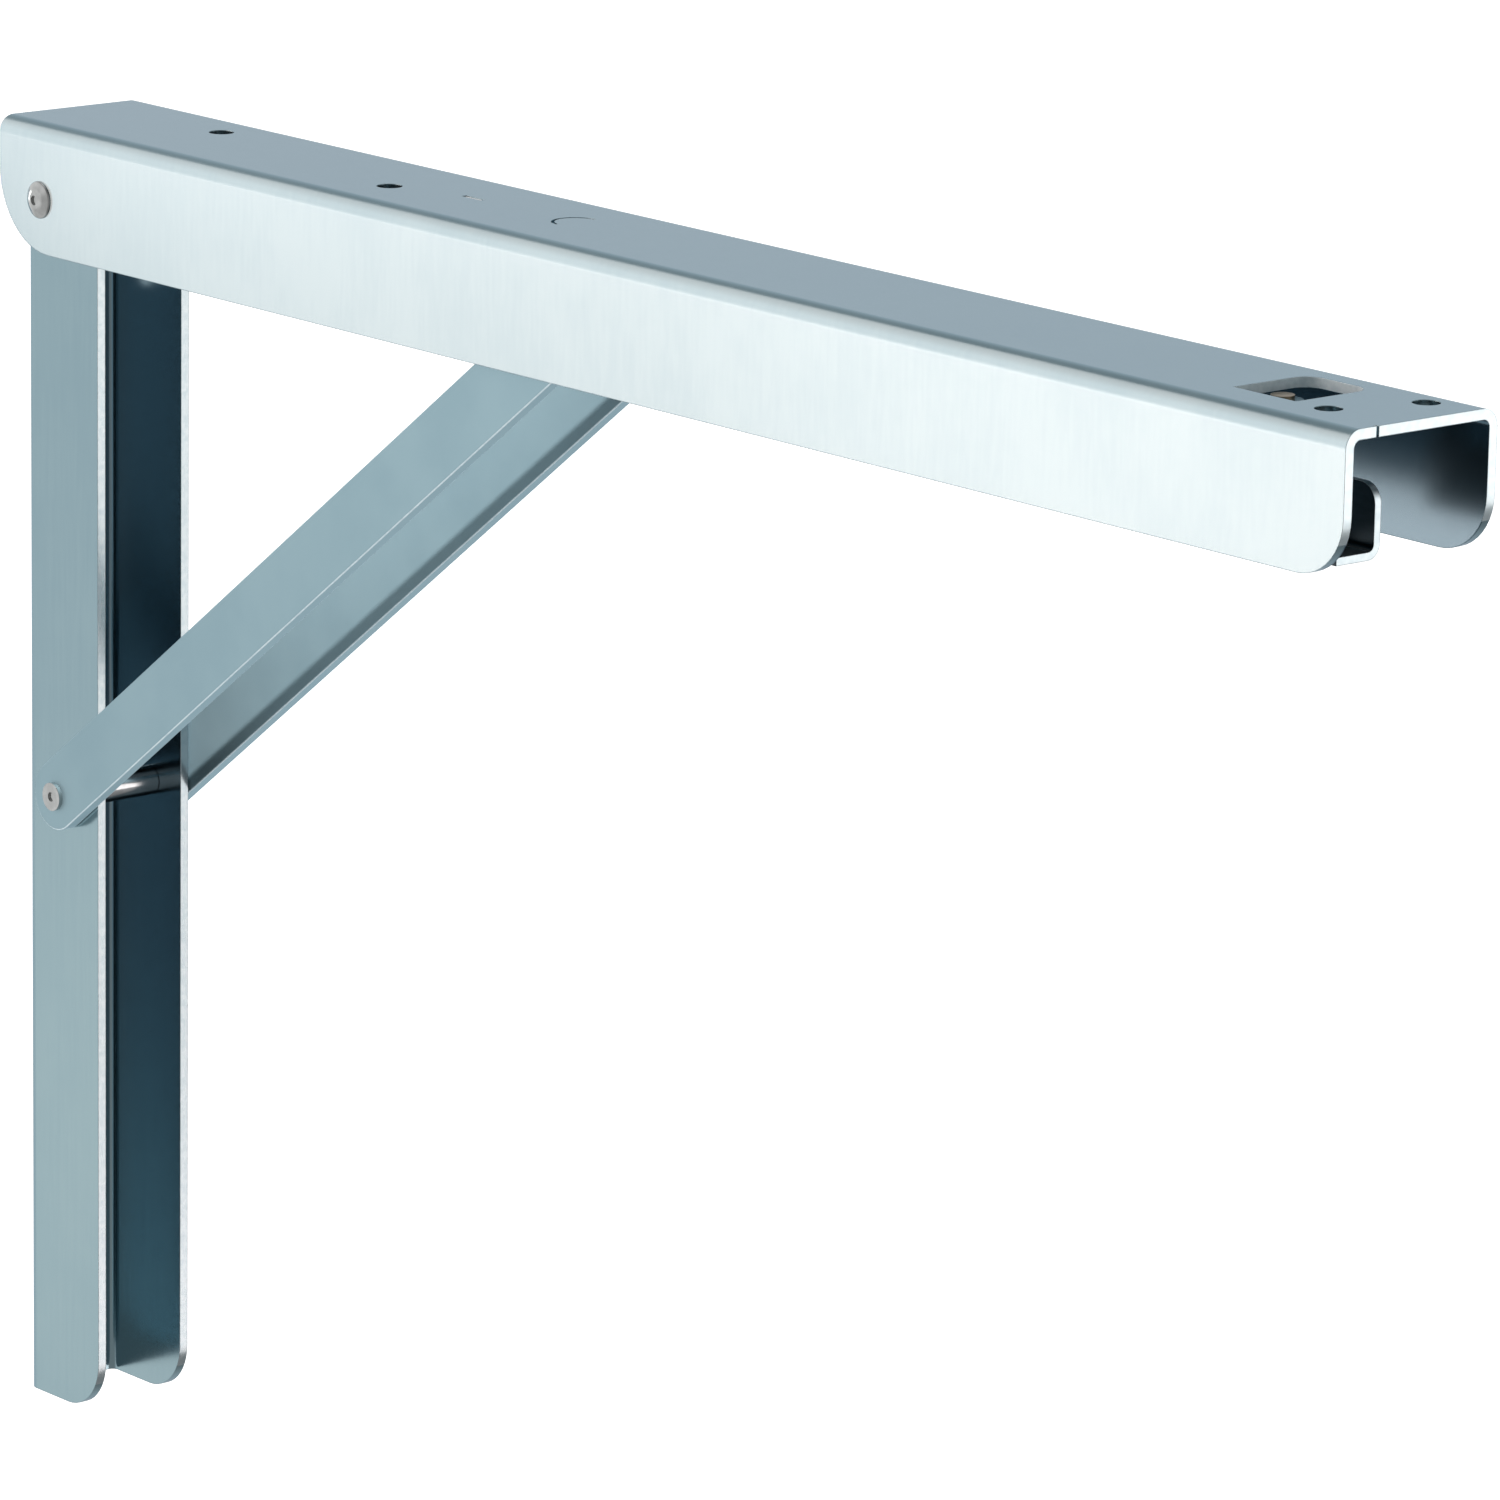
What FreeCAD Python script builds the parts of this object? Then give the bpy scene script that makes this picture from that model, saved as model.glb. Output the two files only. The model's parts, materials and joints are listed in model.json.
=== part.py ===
import FreeCAD, Part
import math
import os
import re
import Sketcher

# Folding bracket for a drop leaf table. Millimetres.
# X runs out from the wall along the raised arm, Y across the bracket, Z up.
# The origin is on the wall plane, in the bracket's middle plane, 120 mm above the rail's foot.

V = FreeCAD.Vector

SIZES = {
    # wall rail: a channel that opens away from the wall, with room for the strut beside it in the arm
    "strut_space": 4.75,
    "rail_depth": 26.0,
    "rail_sheet": 2.0,
    "rail_bend": 1.5,
    "rail_bottom": -120.0,
    "rail_head": 12.5,
    "rail_head_radius": 10.5,
    "rail_foot_radius": 11.0,
    "wall_screw_middle": 70.25,
    "wall_screw_spacing": 98.5,
    "wall_screw_hole": 5.2,
    # the two pivots on the rail
    "pivot_x": 15.2,
    "pivot_z": 141.3,
    "strut_pivot_x": 15.2,
    "strut_pivot_z": 14.0,
    # arm: a channel that opens downwards and folds down over the rail
    "arm_back": 1.0,
    "arm_length": 400.0,
    "arm_width": 37.0,
    "arm_height": 27.0,
    "arm_below_pivot": 11.3,
    "arm_sheet": 2.0,
    "arm_bend": 1.5,
    "arm_rear_radius": 17.0,
    "arm_front_radius": 11.3,
    "table_screw_hole": 5.2,
    "rear_hole_one_x": 44.0,
    "rear_hole_one_y": 6.6,
    "rear_hole_two_x": 114.0,
    "rear_hole_two_y": -4.2,
    "front_hole_one_back": 16.1,
    "front_hole_one_y": -7.2,
    "front_hole_two_back": 9.9,
    "front_hole_two_y": 10.6,
    "anchor_slot_behind": 52.3,
    "anchor_slot_y": 1.1,
    "anchor_slot_length": 6.0,
    "anchor_slot_width": 1.3,
    "stake_behind": 17.1,
    "stake_y": 1.0,
    "stake_radius": 4.6,
    "stake_width": 0.7,
    "stake_depth": 0.7,
    "edge_nick_y": -10.9,
    "edge_nick_width": 0.6,
    "edge_nick_depth": 0.8,
    # window in the web, with the lever's seat pressed down inside it
    "window_back": 40.0,
    "window_length": 16.0,
    "window_low_y": -7.5,
    "window_high_y": 11.0,
    "window_radius": 3.5,
    "seat_depth": 2.5,
    "seat_radius": 3.8,
    "lever_back": 36.0,
    "lever_y": 0.8,
    # main pivot pin with its spacers
    "pivot_pin": 6.0,
    "pivot_head": 7.8,
    "pivot_head_height": 1.5,
    "pivot_head_rim": 0.4,
    "pivot_head_rim_round": 0.5,
    "pivot_head_crown": 3.7,
    "pivot_head_round": 2.5,
    "head_dimple": 2.0,
    "head_dimple_depth": 0.4,
    "spacer_outer": 10.0,
    # strut: two flat bars outside the rail and inside the arm
    "strut_length": 211.0,
    "bar_thick": 3.0,
    "bar_height": 14.4,
    "bar_edge": 0.35,
    "washer_thick": 0.4,
    "washer_outer": 11.0,
    "strut_pin": 5.0,
    "button_head": 6.0,
    "button_height": 0.9,
    "sleeve_outer": 6.4,
    # sliding end of the strut
    "slide_pin": 6.0,
    "slide_head": 8.0,
    "roller_outer": 8.0,
    "block_length": 15.0,
    "block_cheek": 3.0,
    "block_below": 6.2,
    "runner_thick": 5.6,
    # release lever, its rivet and the push rod behind it
    "lever_sheet": 1.5,
    "lever_boss": 6.0,
    "lever_reach": 14.0,
    "lever_neck": 8.4,
    "lever_wall_y": -1.5,
    "lever_setback": 8.0,
    "lever_blade_length": 25.0,
    "lever_blade_height": 13.5,
    "lever_blade_round": 3.8,
    "lever_lift": 0.8,
    "lever_leg_y": -12.0,
    "lever_bend": 1.3,
    "driver_access": 10.0,
    "lever_rivet": 3.0,
    "lever_rivet_head": 4.4,
    "lever_rivet_height": 0.8,
    "lever_washer_thick": 0.8,
    "rod_offset": 5.5,
    "rod_width": 3.8,
    "rod_sheet": 1.5,
    "rod_end": 2.8,
    "rod_rivet": 2.4,
    "rod_rivet_head": 4.2,
    "rod_rivet_height": 0.7,
    "guide_back": 139.0,
    "guide_length": 8.0,
    "guide_sheet": 1.1,
    # lock pawl that hooks over the roller on the slide pin
    "pawl_back": 18.5,
    "pawl_drop": 5.5,
    "pawl_thick": 3.0,
    "pawl_y": -1.0,
    "pawl_boss": 9.0,
    "pawl_pin": 4.0,
    "pawl_pin_head": 5.6,
    "pawl_pin_head_height": 0.8,
    "hook_gap": 0.5,
    "hook_thick": 3.4,
    "hook_reach": 3.0,
    "hook_depth": 3.8,
    "finger_ahead": 10.0,
    "finger_thick": 3.0,
    "finger_above": 1.0,
    "bracket_length": 10.0,
    "bracket_sheet": 1.5,
    "bracket_below": 3.8,
    "tail_back": 6.0,
    "tail_below": 4.4,
    "tail_hole": 3.2,
    "tail_rim": 1.4,
    # return spring between the anchor slot and the pawl's tail
    "spring_wire": 0.8,
    "spring_coil": 4.6,
    "spring_turns": 9.0,
    # clearances
    "running": 0.05,
    "side_gap": 0.1,
    "free_gap": 0.3,
    "link_gap": 0.08,
    "finger_gap": 0.3,
}

doc = FreeCAD.newDocument("drop_leaf_bracket")
sheet = doc.addObject("Spreadsheet::Sheet", "Sizes")
for row, (alias, number) in enumerate(SIZES.items(), start=1):
    sheet.set(f"A{row}", alias)
    sheet.set(f"B{row}", str(number))
    sheet.setAlias(f"B{row}", alias)
doc.recompute()

# Levels and places that several pieces share, as expressions on the sheet's names.
ARM_BOTTOM = "(pivot_z - arm_below_pivot)"
ARM_TOP = f"({ARM_BOTTOM} + arm_height)"
WEB_UNDER = f"({ARM_TOP} - arm_sheet)"
ARM_FRONT = "(arm_back + arm_length)"
ARM_INSIDE = "(arm_width / 2 - arm_sheet)"
RAIL_TOP = "(pivot_z + rail_head)"
RAIL_SIDE = f"({ARM_INSIDE} - strut_space)"
RAIL_INSIDE = f"({RAIL_SIDE} - rail_sheet)"
BAR_INNER = f"({RAIL_SIDE} + washer_thick)"
BAR_OUTER = f"({BAR_INNER} + bar_thick)"
SLIDE_X = "(pivot_x + sqrt(strut_length^2 - (pivot_z - strut_pivot_z)^2))"
STRUT_SLOPE = "asin((pivot_z - strut_pivot_z) / strut_length)"
CHEEK_OUTER = f"({BAR_INNER} - free_gap)"
CHEEK_INNER = f"({CHEEK_OUTER} - block_cheek)"
SEAT_TOP = f"({ARM_TOP} - seat_depth)"
SEAT_UNDER = f"({SEAT_TOP} - arm_sheet)"
LEVER_TOP = f"({SEAT_UNDER} - free_gap)"
LEVER_UNDER = f"({LEVER_TOP} - lever_sheet)"
LEVER_BOTTOM = f"({ARM_BOTTOM} + lever_lift)"
LEVER_X = f"({ARM_FRONT} - lever_back)"
BLADE_FRONT = f"({ARM_FRONT} - lever_setback)"
BLADE_BACK = f"({BLADE_FRONT} - lever_blade_length)"
BLADE_TOP = f"({LEVER_BOTTOM} + lever_blade_height)"
FRONT_HOLE_ONE = f"({ARM_FRONT} - front_hole_one_back)"
FRONT_HOLE_TWO = f"({ARM_FRONT} - front_hole_two_back)"
ROD_TOP = f"({LEVER_UNDER} - free_gap)"
ROD_UNDER = f"({ROD_TOP} - rod_sheet)"
ROD_Y = "(lever_y - rod_offset)"
PAWL_X = f"({SLIDE_X} - pawl_back)"
PAWL_Z = f"({ROD_TOP} - rod_sheet / 2 - pawl_drop)"
PAWL_LOW_Y = "(pawl_y - pawl_thick / 2)"
PAWL_HIGH_Y = "(pawl_y + pawl_thick / 2)"
FINGER_X = f"({PAWL_X} + finger_ahead)"
ANCHOR_SLOT = f"({SLIDE_X} - anchor_slot_behind)"
WINDOW_X = f"({ARM_FRONT} - window_back)"


def size(expression):
    """Number that an expression on the sheet's names gives now."""
    found = sheet.evalExpression(expression)
    return float(getattr(found, "Value", found))


def bind(item, target, expression):
    """Tie a property or constraint to an expression on the sheet's names."""
    named = re.sub(
        r"[a-z]\w*",
        lambda word: f"Sizes.{word[0]}" if word[0] in SIZES else word[0],
        expression,
    )
    item.setExpression(target, named)


def new_body(label):
    body = doc.addObject("PartDesign::Body", label)
    body.Label = label
    return body


def new_sketch(body, plane, offset="0"):
    """Sketch on one of the body's own origin planes, moved along its normal."""
    sketch = body.newObject("Sketcher::SketchObject", f"{body.Name}_sketch")
    support = next(f for f in body.Origin.OriginFeatures if f.Role == plane)
    sketch.AttachmentSupport = [(support, "")]
    sketch.MapMode = "FlatFace"
    bind(sketch, "AttachmentOffset.Base.z", offset)
    return sketch


def hold_point(sketch, geometry, point, x, y):
    """Fix a point of a sketch at a bound distance from the sketch's origin."""
    for kind, expression in (("DistanceX", x), ("DistanceY", y)):
        rule = Sketcher.Constraint(kind, -1, 1, geometry, point, size(expression))
        index = sketch.addConstraint(rule)
        bind(sketch, f"Constraints[{index}]", expression)


def outline(sketch, corners):
    """Closed straight-sided outline through bound corners."""
    points = [V(size(x), size(y), 0) for x, y in corners]
    first = sketch.GeometryCount
    count = len(corners)
    for index in range(count):
        side = Part.LineSegment(points[index], points[(index + 1) % count])
        sketch.addGeometry(side, False)
    for index in range(count):
        after = first + (index + 1) % count
        sketch.addConstraint(Sketcher.Constraint("Coincident", first + index, 2, after, 1))
    for index, (x, y) in enumerate(corners):
        hold_point(sketch, first + index, 1, x, y)


def rectangle(sketch, low_x, high_x, low_y, high_y):
    outline(sketch, [(low_x, low_y), (high_x, low_y), (high_x, high_y), (low_x, high_y)])


def circle(sketch, x, y, diameter):
    ring = Part.Circle(V(size(x), size(y), 0), V(0, 0, 1), size(diameter) / 2)
    index = sketch.addGeometry(ring, False)
    hold_point(sketch, index, 3, x, y)
    rule = sketch.addConstraint(Sketcher.Constraint("Diameter", index, size(diameter)))
    bind(sketch, f"Constraints[{rule}]", diameter)


def half_ring(sketch, x, y, radius, width):
    """Half of a flat ring, on the side towards the wall."""
    centre = V(size(x), size(y), 0)
    arcs = []
    for rim in (f"({radius} + {width} / 2)", f"({radius} - {width} / 2)"):
        whole = Part.Circle(centre, V(0, 0, 1), size(rim))
        arc = sketch.addGeometry(Part.ArcOfCircle(whole, math.pi / 2, 3 * math.pi / 2), False)
        hold_point(sketch, arc, 3, x, y)
        rule = sketch.addConstraint(Sketcher.Constraint("Radius", arc, size(rim)))
        bind(sketch, f"Constraints[{rule}]", rim)
        arcs.append(arc)
    for end in (1, 2):
        ends = [sketch.getPoint(arc, end) for arc in arcs]
        side = sketch.addGeometry(Part.LineSegment(*ends), False)
        for point, arc in enumerate(arcs, start=1):
            sketch.addConstraint(Sketcher.Constraint("Coincident", side, point, arc, end))
            sketch.addConstraint(Sketcher.Constraint("Vertical", arc, end, arc, 3))


def pad(body, sketch, length):
    """Solid that grows from a sketch along its normal."""
    feature = body.newObject("PartDesign::Pad", f"{body.Name}_pad")
    feature.Profile = sketch
    bind(feature, "Length", length)
    doc.recompute()
    return feature


def cut(body, sketch, depth=None):
    """Pocket behind a sketch to a depth, or right through both ways."""
    before = body.Tip.Shape.Volume
    feature = body.newObject("PartDesign::Pocket", f"{body.Name}_pocket")
    feature.Profile = sketch
    if depth is None:
        feature.Type = "ThroughAll"
        feature.SideType = "Symmetric"
    else:
        bind(feature, "Length", depth)
    doc.recompute()
    if feature.Shape.Volume >= before:
        raise RuntimeError(f"a pocket in {body.Label} cuts nothing")
    return feature


def round_edges(body, radius, **place):
    """Fillet every edge whose ends all lie at the given x, y or z."""
    target = {axis: size(expression) for axis, expression in place.items()}
    base = body.Tip
    names = []
    for index, edge in enumerate(base.Shape.Edges, start=1):
        ends = [vertex.Point for vertex in edge.Vertexes]
        if all(abs(getattr(p, axis) - at) < 0.001 for p in ends for axis, at in target.items()):
            names.append(f"Edge{index}")
    if not names:
        raise RuntimeError(f"no edge of {body.Label} at {place}")
    feature = body.newObject("PartDesign::Fillet", f"{body.Name}_fillet")
    feature.Base = (base, names)
    bind(feature, "Radius", radius)
    doc.recompute()
    return feature


def plate_across(body, corners, high_y, thick):
    """Plate that stands in the XZ plane, its farther face at high_y."""
    sketch = new_sketch(body, "XZ_Plane", f"-({high_y})")
    outline(sketch, corners)
    return pad(body, sketch, thick)


def hole_across(body, x, z, diameter):
    """Round hole through the whole body along Y."""
    sketch = new_sketch(body, "XZ_Plane")
    circle(sketch, x, z, diameter)
    return cut(body, sketch)


def turned(label, profile, plane, place):
    """Piece turned about the upright axis of its own sketch plane, then put in place."""
    body = new_body(label)
    sketch = new_sketch(body, plane)
    outline(sketch, profile)
    feature = body.newObject("PartDesign::Revolution", f"{label}_turn")
    feature.Profile = sketch
    feature.ReferenceAxis = (sketch, ["V_Axis"])
    feature.Angle = 360
    doc.recompute()
    for axis, expression in place.items():
        bind(body, f"Placement.Base.{axis}", expression)
    doc.recompute()
    return body


def ring(label, inner, outer, low_y, high_y, place):
    """Plain ring on a pin that runs along Y."""
    profile = [
        (f"({inner}) / 2", low_y),
        (f"({outer}) / 2", low_y),
        (f"({outer}) / 2", high_y),
        (f"({inner}) / 2", high_y),
    ]
    return turned(label, profile, "XY_Plane", place)


def headed_pin(label, shank, grip, head, height, place, dimple=True, slope=()):
    """Pin along Y with the same head on both ends, outside a grip of the given half width.

    A sloping head has a flat crown of the first diameter and an upright rim of the second height.
    """
    top = f"({grip} + {height})"
    profile = [("0", f"-{top}")]
    if dimple:
        floor = f"({top} - head_dimple_depth)"
        profile = [
            ("0", f"-{floor}"),
            ("head_dimple / 2", f"-{floor}"),
            ("head_dimple / 2", f"-{top}"),
        ]
    crown, rim = slope or (head, height)
    if slope:
        profile.append((f"{crown} / 2", f"-{top}"))
    profile += [
        (f"{head} / 2", f"-({grip} + {rim})"),
        (f"{head} / 2", f"-{grip}"),
        (f"{shank} / 2", f"-{grip}"),
    ]
    mirrored = [(r, y[1:]) for r, y in reversed(profile)]
    return turned(label, profile + mirrored, "XY_Plane", place)


AT_PIVOT = {"x": "pivot_x", "z": "pivot_z"}
AT_STRUT_PIVOT = {"x": "strut_pivot_x", "z": "strut_pivot_z"}
AT_SLIDE = {"x": SLIDE_X, "z": "pivot_z"}
AT_LEVER = {"x": LEVER_X, "y": "lever_y"}
RUNNING_BORE = "2 * running"


def make_wall_rail():
    rail = new_body("wall_rail")
    section = new_sketch(rail, "XY_Plane", "rail_bottom")
    outline(
        section,
        [
            ("0", f"-{RAIL_SIDE}"),
            ("rail_depth", f"-{RAIL_SIDE}"),
            ("rail_depth", f"-{RAIL_INSIDE}"),
            ("rail_sheet", f"-{RAIL_INSIDE}"),
            ("rail_sheet", RAIL_INSIDE),
            ("rail_depth", RAIL_INSIDE),
            ("rail_depth", RAIL_SIDE),
            ("0", RAIL_SIDE),
        ],
    )
    pad(rail, section, f"{RAIL_TOP} - rail_bottom")
    for side in ("-", ""):
        round_edges(rail, "rail_bend", x="rail_sheet", y=side + RAIL_INSIDE)
        round_edges(rail, "rail_bend + rail_sheet", x="0", y=side + RAIL_SIDE)
    round_edges(rail, "rail_foot_radius", x="rail_depth", z="rail_bottom")
    round_edges(rail, "rail_head_radius", x="rail_depth", z=RAIL_TOP)
    hole_across(rail, "pivot_x", "pivot_z", f"pivot_pin + {RUNNING_BORE}")
    hole_across(rail, "strut_pivot_x", "strut_pivot_z", f"strut_pin + {RUNNING_BORE}")
    screws = new_sketch(rail, "YZ_Plane")
    for end in ("-", "+"):
        circle(screws, "0", f"wall_screw_middle {end} wall_screw_spacing / 2", "wall_screw_hole")
    cut(rail, screws)


def make_arm():
    arm = new_body("arm_channel")
    section = new_sketch(arm, "YZ_Plane", "arm_back")
    outline(
        section,
        [
            ("-arm_width / 2", ARM_BOTTOM),
            ("-arm_width / 2", ARM_TOP),
            ("arm_width / 2", ARM_TOP),
            ("arm_width / 2", ARM_BOTTOM),
            (ARM_INSIDE, ARM_BOTTOM),
            (ARM_INSIDE, WEB_UNDER),
            (f"-{ARM_INSIDE}", WEB_UNDER),
            (f"-{ARM_INSIDE}", ARM_BOTTOM),
        ],
    )
    pad(arm, section, "arm_length")
    for side in ("-", ""):
        round_edges(arm, "arm_bend", y=side + ARM_INSIDE, z=WEB_UNDER)
        round_edges(arm, "arm_bend + arm_sheet", y=f"{side}arm_width / 2", z=ARM_TOP)
    round_edges(arm, "arm_rear_radius", x="arm_back", z=ARM_BOTTOM)
    round_edges(arm, "arm_front_radius", x=ARM_FRONT, z=ARM_BOTTOM)
    hole_across(arm, "pivot_x", "pivot_z", f"pivot_pin + {RUNNING_BORE}")

    through_web = "arm_sheet + free_gap"
    screws = new_sketch(arm, "XY_Plane", ARM_TOP)
    for x, y in (
        ("rear_hole_one_x", "rear_hole_one_y"),
        ("rear_hole_two_x", "rear_hole_two_y"),
        (FRONT_HOLE_ONE, "front_hole_one_y"),
        (FRONT_HOLE_TWO, "front_hole_two_y"),
    ):
        circle(screws, x, y, "table_screw_hole")
    cut(arm, screws, through_web)

    openings = new_sketch(arm, "XY_Plane", ARM_TOP)
    rectangle(
        openings,
        ANCHOR_SLOT,
        f"{ANCHOR_SLOT} + anchor_slot_length",
        "anchor_slot_y - anchor_slot_width / 2",
        "anchor_slot_y + anchor_slot_width / 2",
    )
    rectangle(
        openings,
        f"{ARM_FRONT} - edge_nick_depth",
        f"{ARM_FRONT} + free_gap",
        "edge_nick_y - edge_nick_width / 2",
        "edge_nick_y + edge_nick_width / 2",
    )
    cut(arm, openings, through_web)

    window = new_sketch(arm, "XY_Plane", ARM_TOP)
    rectangle(window, WINDOW_X, f"{WINDOW_X} + window_length", "window_low_y", "window_high_y")
    cut(arm, window, through_web)
    for x in (WINDOW_X, f"{WINDOW_X} + window_length"):
        round_edges(arm, "window_radius", x=x, y="window_high_y")

    stake = new_sketch(arm, "XY_Plane", ARM_TOP)
    half_ring(stake, f"({SLIDE_X} - stake_behind)", "stake_y", "stake_radius", "stake_width")
    cut(arm, stake, "stake_depth")

    # The seat is a tongue of the web, set down below the table's face at its near edge.
    tongue = new_sketch(arm, "YZ_Plane", f"{LEVER_X} - seat_radius")
    outline(
        tongue,
        [
            ("window_low_y - seat_depth", ARM_TOP),
            ("window_low_y", ARM_TOP),
            ("window_low_y + seat_depth", SEAT_TOP),
            ("lever_y", SEAT_TOP),
            ("lever_y", SEAT_UNDER),
            ("window_low_y + seat_depth / 2", SEAT_UNDER),
            ("window_low_y - seat_depth / 2", WEB_UNDER),
            ("window_low_y - seat_depth", WEB_UNDER),
        ],
    )
    pad(arm, tongue, "2 * seat_radius")
    seat = new_sketch(arm, "XY_Plane", SEAT_UNDER)
    circle(seat, LEVER_X, "lever_y", "2 * seat_radius")
    pad(arm, seat, "arm_sheet")
    rivet_hole = new_sketch(arm, "XY_Plane", SEAT_TOP)
    circle(rivet_hole, LEVER_X, "lever_y", f"lever_rivet + {RUNNING_BORE}")
    cut(arm, rivet_hole, through_web)


def make_pivot():
    grip = "(arm_width / 2 + running)"
    pin = headed_pin(
        "pivot_pin", "pivot_pin", grip, "pivot_head", "pivot_head_height", AT_PIVOT,
        slope=("pivot_head_crown", "pivot_head_rim"),
    )
    for side in ("-", ""):
        round_edges(pin, "pivot_head_round", y=f"{side}({grip} + pivot_head_height)", x="pivot_head_crown / 2")
        round_edges(pin, "pivot_head_rim_round", y=f"{side}({grip} + pivot_head_rim)", x="pivot_head / 2")
    low = f"({RAIL_SIDE} + side_gap)"
    high = f"({ARM_INSIDE} - side_gap)"
    bore = f"pivot_pin + {RUNNING_BORE}"
    ring("pivot_spacer_near", bore, "spacer_outer", f"-{high}", f"-{low}", AT_PIVOT)
    ring("pivot_spacer_far", bore, "spacer_outer", low, high, AT_PIVOT)


def make_strut():
    for label, high_y in (("strut_bar_near", f"-{BAR_INNER}"), ("strut_bar_far", BAR_OUTER)):
        bar = new_body(label)
        plate_across(
            bar,
            [
                ("0", "-bar_height / 2"),
                ("strut_length", "-bar_height / 2"),
                ("strut_length", "bar_height / 2"),
                ("0", "bar_height / 2"),
            ],
            high_y,
            "bar_thick",
        )
        for end in ("0", "strut_length"):
            rounded = new_sketch(bar, "XZ_Plane", f"-({high_y})")
            circle(rounded, end, "0", "bar_height")
            pad(bar, rounded, "bar_thick")
        for face in (high_y, f"({high_y} - bar_thick)"):
            round_edges(bar, "bar_edge", y=face)
        hole_across(bar, "0", "0", f"strut_pin + {RUNNING_BORE}")
        hole_across(bar, "strut_length", "0", f"slide_pin + {RUNNING_BORE}")
        bar.Placement = FreeCAD.Placement(V(), FreeCAD.Rotation(V(0, -1, 0), 30))
        bind(bar, "Placement.Rotation.Angle", STRUT_SLOPE)
        bind(bar, "Placement.Base.x", "strut_pivot_x")
        bind(bar, "Placement.Base.z", "strut_pivot_z")
        doc.recompute()

    grip = f"({BAR_OUTER} + running)"
    headed_pin("strut_pin", "strut_pin", grip, "button_head", "button_height", AT_STRUT_PIVOT)
    bore = f"strut_pin + {RUNNING_BORE}"
    inside = f"({RAIL_INSIDE} - side_gap)"
    ring("strut_sleeve", bore, "sleeve_outer", f"-{inside}", inside, AT_STRUT_PIVOT)
    low = f"({RAIL_SIDE} + running)"
    high = f"({BAR_INNER} - running)"
    ring("strut_washer_near", bore, "washer_outer", f"-{high}", f"-{low}", AT_STRUT_PIVOT)
    ring("strut_washer_far", bore, "washer_outer", low, high, AT_STRUT_PIVOT)


def make_slider():
    grip = f"({BAR_OUTER} + running)"
    headed_pin("slide_pin", "slide_pin", grip, "slide_head", "button_height", AT_SLIDE, dimple=False)
    half = f"({CHEEK_INNER} - free_gap)"
    ring("catch_roller", f"slide_pin + {RUNNING_BORE}", "roller_outer", f"-{half}", half, AT_SLIDE)

    back = f"({SLIDE_X} - block_length / 2)"
    top = f"({WEB_UNDER} - side_gap)"
    low = "(pivot_z - block_below)"
    shelf = f"({top} - runner_thick)"
    outer = f"({ARM_INSIDE} - free_gap - arm_bend)"
    for label, side in (("slide_block_near", "-"), ("slide_block_far", "")):
        block = new_body(label)
        section = new_sketch(block, "YZ_Plane", back)
        outline(
            section,
            [
                (side + CHEEK_INNER, low),
                (side + CHEEK_OUTER, low),
                (side + CHEEK_OUTER, shelf),
                (side + outer, shelf),
                (side + outer, top),
                (side + CHEEK_INNER, top),
            ],
        )
        pad(block, section, "block_length")
        for x in (back, f"({back} + block_length)"):
            round_edges(block, "block_below - free_gap", x=x, z=low)
        hole_across(block, SLIDE_X, "pivot_z", f"slide_pin + {RUNNING_BORE}")


def make_release_lever():
    lever = new_body("release_lever")
    inner_y = "(lever_wall_y - lever_sheet)"
    plate_front = f"({LEVER_X} + lever_reach)"
    neck_back = f"({plate_front} - lever_neck)"
    top_plate = new_sketch(lever, "XY_Plane", LEVER_UNDER)
    outline(
        top_plate,
        [
            (LEVER_X, inner_y),
            (plate_front, inner_y),
            (plate_front, "lever_y"),
            (f"{plate_front} - lever_boss", "lever_y + lever_boss"),
            (LEVER_X, "lever_y + lever_boss"),
        ],
    )
    pad(lever, top_plate, "lever_sheet")
    for y, diameter in (("lever_y", "2 * lever_boss"), (ROD_Y, "2 * rod_end")):
        boss = new_sketch(lever, "XY_Plane", LEVER_UNDER)
        circle(boss, LEVER_X, y, diameter)
        pad(lever, boss, "lever_sheet")

    # The finger blade hangs from the plate and turns in to a leg at the bottom.
    plate_across(
        lever,
        [
            (neck_back, LEVER_TOP),
            (plate_front, LEVER_TOP),
            (plate_front, BLADE_TOP),
            (BLADE_FRONT, BLADE_TOP),
            (BLADE_FRONT, LEVER_BOTTOM),
            (BLADE_BACK, LEVER_BOTTOM),
            (BLADE_BACK, BLADE_TOP),
            (neck_back, BLADE_TOP),
        ],
        "lever_wall_y",
        "lever_sheet",
    )
    leg = new_sketch(lever, "XY_Plane", LEVER_BOTTOM)
    rectangle(leg, BLADE_BACK, BLADE_FRONT, "lever_leg_y", "lever_wall_y")
    pad(lever, leg, "lever_sheet")
    round_edges(lever, "lever_blade_round", x=BLADE_FRONT, z=BLADE_TOP)
    round_edges(lever, "lever_bend", y=inner_y, z=f"{LEVER_BOTTOM} + lever_sheet")
    round_edges(lever, "lever_bend + lever_sheet", y="lever_wall_y", z=LEVER_BOTTOM)

    # Room in the leg for a screwdriver on the table screw above it.
    access = new_sketch(lever, "XY_Plane", f"{LEVER_BOTTOM} + lever_sheet + free_gap")
    circle(access, FRONT_HOLE_ONE, "lever_leg_y", "driver_access")
    cut(lever, access, "lever_sheet + 2 * free_gap")
    for y, diameter in (("lever_y", "lever_rivet"), (ROD_Y, "rod_rivet")):
        bore = new_sketch(lever, "XY_Plane", f"{LEVER_TOP} + free_gap")
        circle(bore, LEVER_X, y, f"{diameter} + {RUNNING_BORE}")
        cut(lever, bore, "lever_sheet + 2 * free_gap")


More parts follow.
